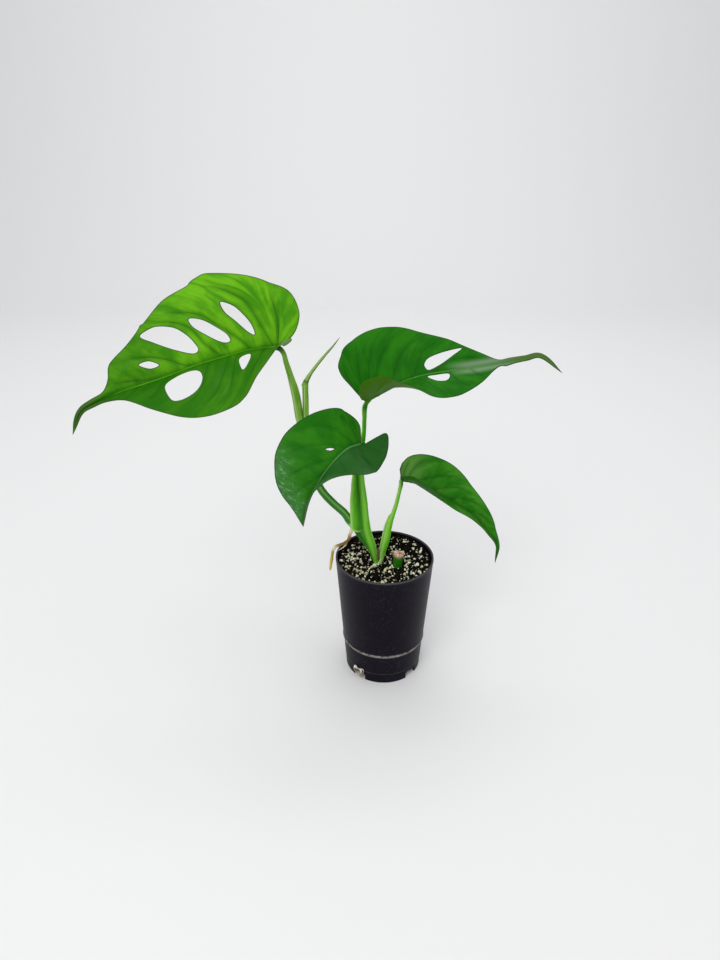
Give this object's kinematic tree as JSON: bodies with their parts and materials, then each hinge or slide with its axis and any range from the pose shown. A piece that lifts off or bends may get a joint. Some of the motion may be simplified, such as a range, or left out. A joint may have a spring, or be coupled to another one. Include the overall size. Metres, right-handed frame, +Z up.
{
  "type": "potted monstera plant",
  "caption": "Young hybrid monstera with holed, long-tipped leaves on bare petioles, growing in a tall round nursery pot of peat and perlite.",
  "frame": {"origin": "middle of the pot's base, on the surface it stands on", "axes": "+Z up along the pot's axis, the plant's front looks along -Y, +X to its right"},
  "size_m": [0.3998, 0.1211, 0.3663],
  "materials": {
    "pot_plastic": "satin black moulded plastic, faintly mottled, scuffed pale along the ridge",
    "soil": "damp black peat with cream perlite grains",
    "stem_green": "smooth satin green stem",
    "petiole_green": "smooth satin light green petiole",
    "young_blade": "glossy bright green leaf, darker along its sunken side veins",
    "mature_blade": "glossy deep green leaf with a paler midrib",
    "stub": "green stub with a dried pinkish-brown cut end",
    "root": "thin aerial root, brown above and pale at its tip",
    "dry_fibre": "dry papery brown remains of an old leaf sheath"
  },
  "bodies": {
    "root": {"pot": "pot_plastic", "soil": "soil", "stem": "stem_green", "petiole_a": "petiole_green", "petiole_b": "petiole_green", "petiole_c": "petiole_green", "petiole_d": "petiole_green", "blade_a": "young_blade", "blade_b": "mature_blade", "blade_c": "mature_blade", "blade_d": "mature_blade", "new_leaf": "petiole_green", "cut_petiole_stub": "stub", "aerial_root": "root", "sheath_fibre": "dry_fibre", "drain_root": "root"}
  },
  "joints": []
}
